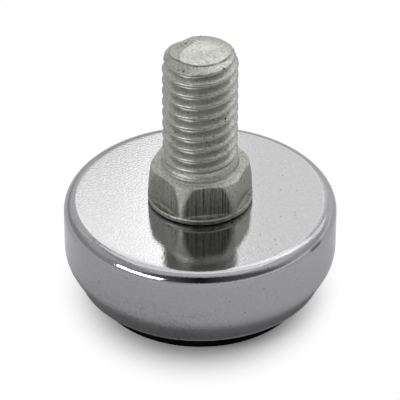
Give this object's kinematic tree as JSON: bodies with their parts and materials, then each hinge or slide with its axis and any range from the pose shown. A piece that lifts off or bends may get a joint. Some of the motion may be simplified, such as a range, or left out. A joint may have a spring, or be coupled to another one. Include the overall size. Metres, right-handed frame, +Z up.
{
  "type": "adjustable cabinet leg",
  "caption": "Levelling leg for a cabinet: a threaded stud with a hex collar that turns in a round chromed steel cup on a black moulded foot pad.",
  "frame": {"origin": "centre of the foot pad's underside, on the floor", "axes": "+Z up along the stud, -Y towards the camera of the picture"},
  "size_m": [0.0348, 0.0348, 0.0357],
  "materials": {
    "pad": "matt black moulded",
    "chrome": "bright chrome plate over finely textured drawn steel",
    "washer": "plain stamped steel",
    "zinc": "zinc plate, slightly greenish, with small dark stains"
  },
  "bodies": {
    "base": {"cup": "chrome", "base_pad": "pad"},
    "stud": {"threaded_stud": "zinc", "retaining_washer": "washer"}
  },
  "joints": [
    {"name": "stud_swivel", "type": "hinge", "parent": "base", "child": "stud", "pos_m": [0, 0, 0.0134], "axis": [0, 0, 1], "continuous": true}
  ]
}
